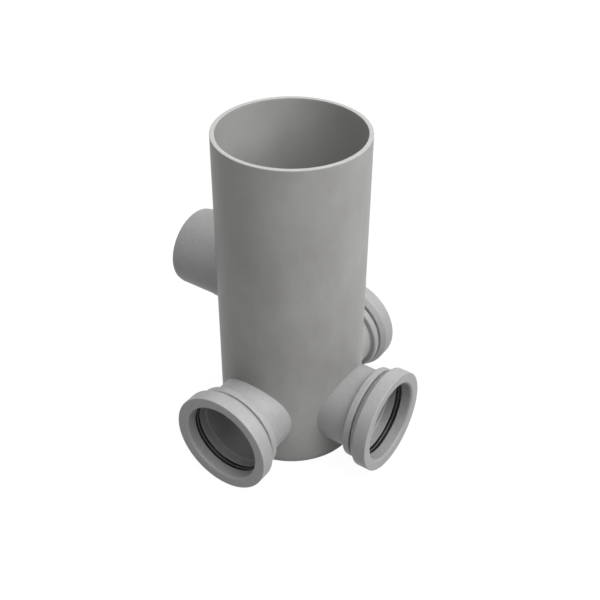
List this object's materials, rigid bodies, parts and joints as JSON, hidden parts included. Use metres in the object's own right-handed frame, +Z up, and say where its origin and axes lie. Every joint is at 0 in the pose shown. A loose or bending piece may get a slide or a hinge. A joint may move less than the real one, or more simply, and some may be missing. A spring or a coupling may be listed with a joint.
{
  "type": "drain pit",
  "caption": "Grey plastic drain pit: open riser pipe with a closed bottom, low rubber-ring pipe sockets on its sides and a plain spigot higher up.",
  "frame": {"origin": "centre of the base plate's underside, on the riser's axis", "axes": "+Z up the riser to its open top, -Y out of the front socket, +X out of the right socket, -X out of the spigot"},
  "size_m": [0.3315, 0.335, 0.466],
  "materials": {
    "riser_pvc": "matte extruded grey unplasticised PVC",
    "fitting_pvc": "satin moulded grey unplasticised PVC",
    "seal_rubber": "lubricated black rubber"
  },
  "bodies": {
    "root": {"riser_pipe": "riser_pvc", "base_plate": "riser_pvc", "front_socket_body": "fitting_pvc", "front_socket_cap": "fitting_pvc", "front_seal_ring": "seal_rubber", "right_socket_body": "fitting_pvc", "right_socket_cap": "fitting_pvc", "right_seal_ring": "seal_rubber", "back_socket_body": "fitting_pvc", "back_socket_cap": "fitting_pvc", "back_seal_ring": "seal_rubber", "inlet_spigot": "fitting_pvc"}
  },
  "joints": []
}
